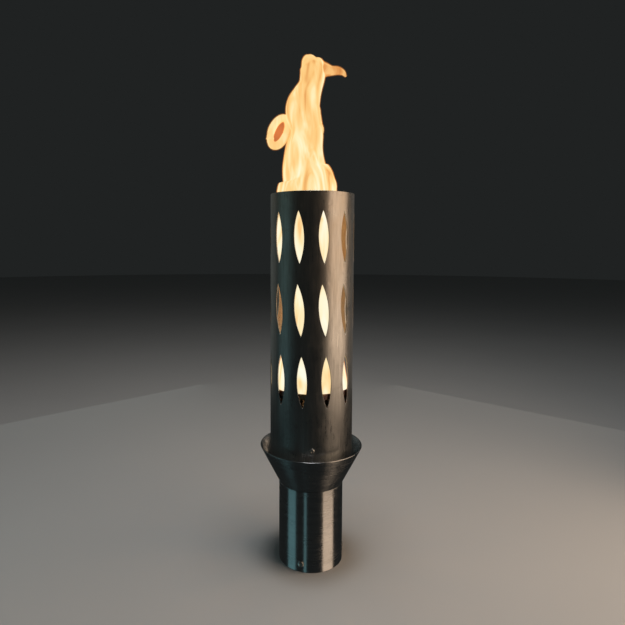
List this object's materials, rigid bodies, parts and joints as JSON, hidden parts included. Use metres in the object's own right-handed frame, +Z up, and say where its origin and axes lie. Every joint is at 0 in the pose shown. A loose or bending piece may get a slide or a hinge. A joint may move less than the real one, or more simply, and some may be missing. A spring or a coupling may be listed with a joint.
{
  "type": "tiki torch",
  "caption": "Gas tiki torch head: a slotted steel cylinder standing in a flared collar on a post socket, with a round burner, pan and gas pipework inside.",
  "frame": {"origin": "centre of the socket's lower rim, on the plane the head stands on", "axes": "+Z up along the torch's axis, -Y the front, +X to the right seen from the front"},
  "size_m": [0.127, 0.1269, 0.4535],
  "materials": {
    "shroud_steel": "satin, fine vertical grain, warmed by heat",
    "collar_steel": "brushed round, brighter than the shroud",
    "screw_steel": "bright",
    "burner_steel": "heat-tinted",
    "zinc_plate": "zinc plated, dull",
    "pipe_iron": "black malleable iron",
    "brass": "turned"
  },
  "bodies": {
    "head": {"socket_tube": "collar_steel", "post_stop_ring": "collar_steel", "collar_cone": "collar_steel", "inner_cup": "burner_steel", "shroud": "shroud_steel", "shroud_screw_1": "screw_steel", "shroud_screw_2": "screw_steel", "shroud_screw_3": "screw_steel", "shroud_nut_1": "zinc_plate", "shroud_nut_2": "zinc_plate", "shroud_nut_3": "zinc_plate", "gas_inlet_fitting": "brass", "inlet_nipple": "pipe_iron", "cup_locknut_lower": "zinc_plate", "cup_locknut_upper": "zinc_plate", "gas_orifice": "brass", "air_mixer": "pipe_iron", "riser_pipe": "pipe_iron", "pan_locknut": "zinc_plate", "burner_pan": "burner_steel", "burner_body": "burner_steel", "burner_cap": "burner_steel"},
    "post_screw_1": {"post_screw_1": "screw_steel"},
    "post_screw_2": {"post_screw_2": "screw_steel"},
    "post_screw_3": {"post_screw_3": "screw_steel"},
    "air_shutter": {"air_shutter": "zinc_plate"}
  },
  "joints": [
    {"name": "post_screw_1_travel", "type": "slide", "parent": "head", "child": "post_screw_1", "axis": [-0.3322, -0.9432, 0], "range_m": [0, 0.005]},
    {"name": "post_screw_2_travel", "type": "slide", "parent": "head", "child": "post_screw_2", "axis": [0.9829, 0.184, 0], "range_m": [0, 0.005]},
    {"name": "post_screw_3_travel", "type": "slide", "parent": "head", "child": "post_screw_3", "axis": [-0.6508, 0.7593, 0], "range_m": [0, 0.005]},
    {"name": "air_shutter_turn", "type": "hinge", "parent": "head", "child": "air_shutter", "pos_m": [0, 0, 0.15056], "axis": [0, 0, 1], "range_deg": [0, 45]}
  ]
}
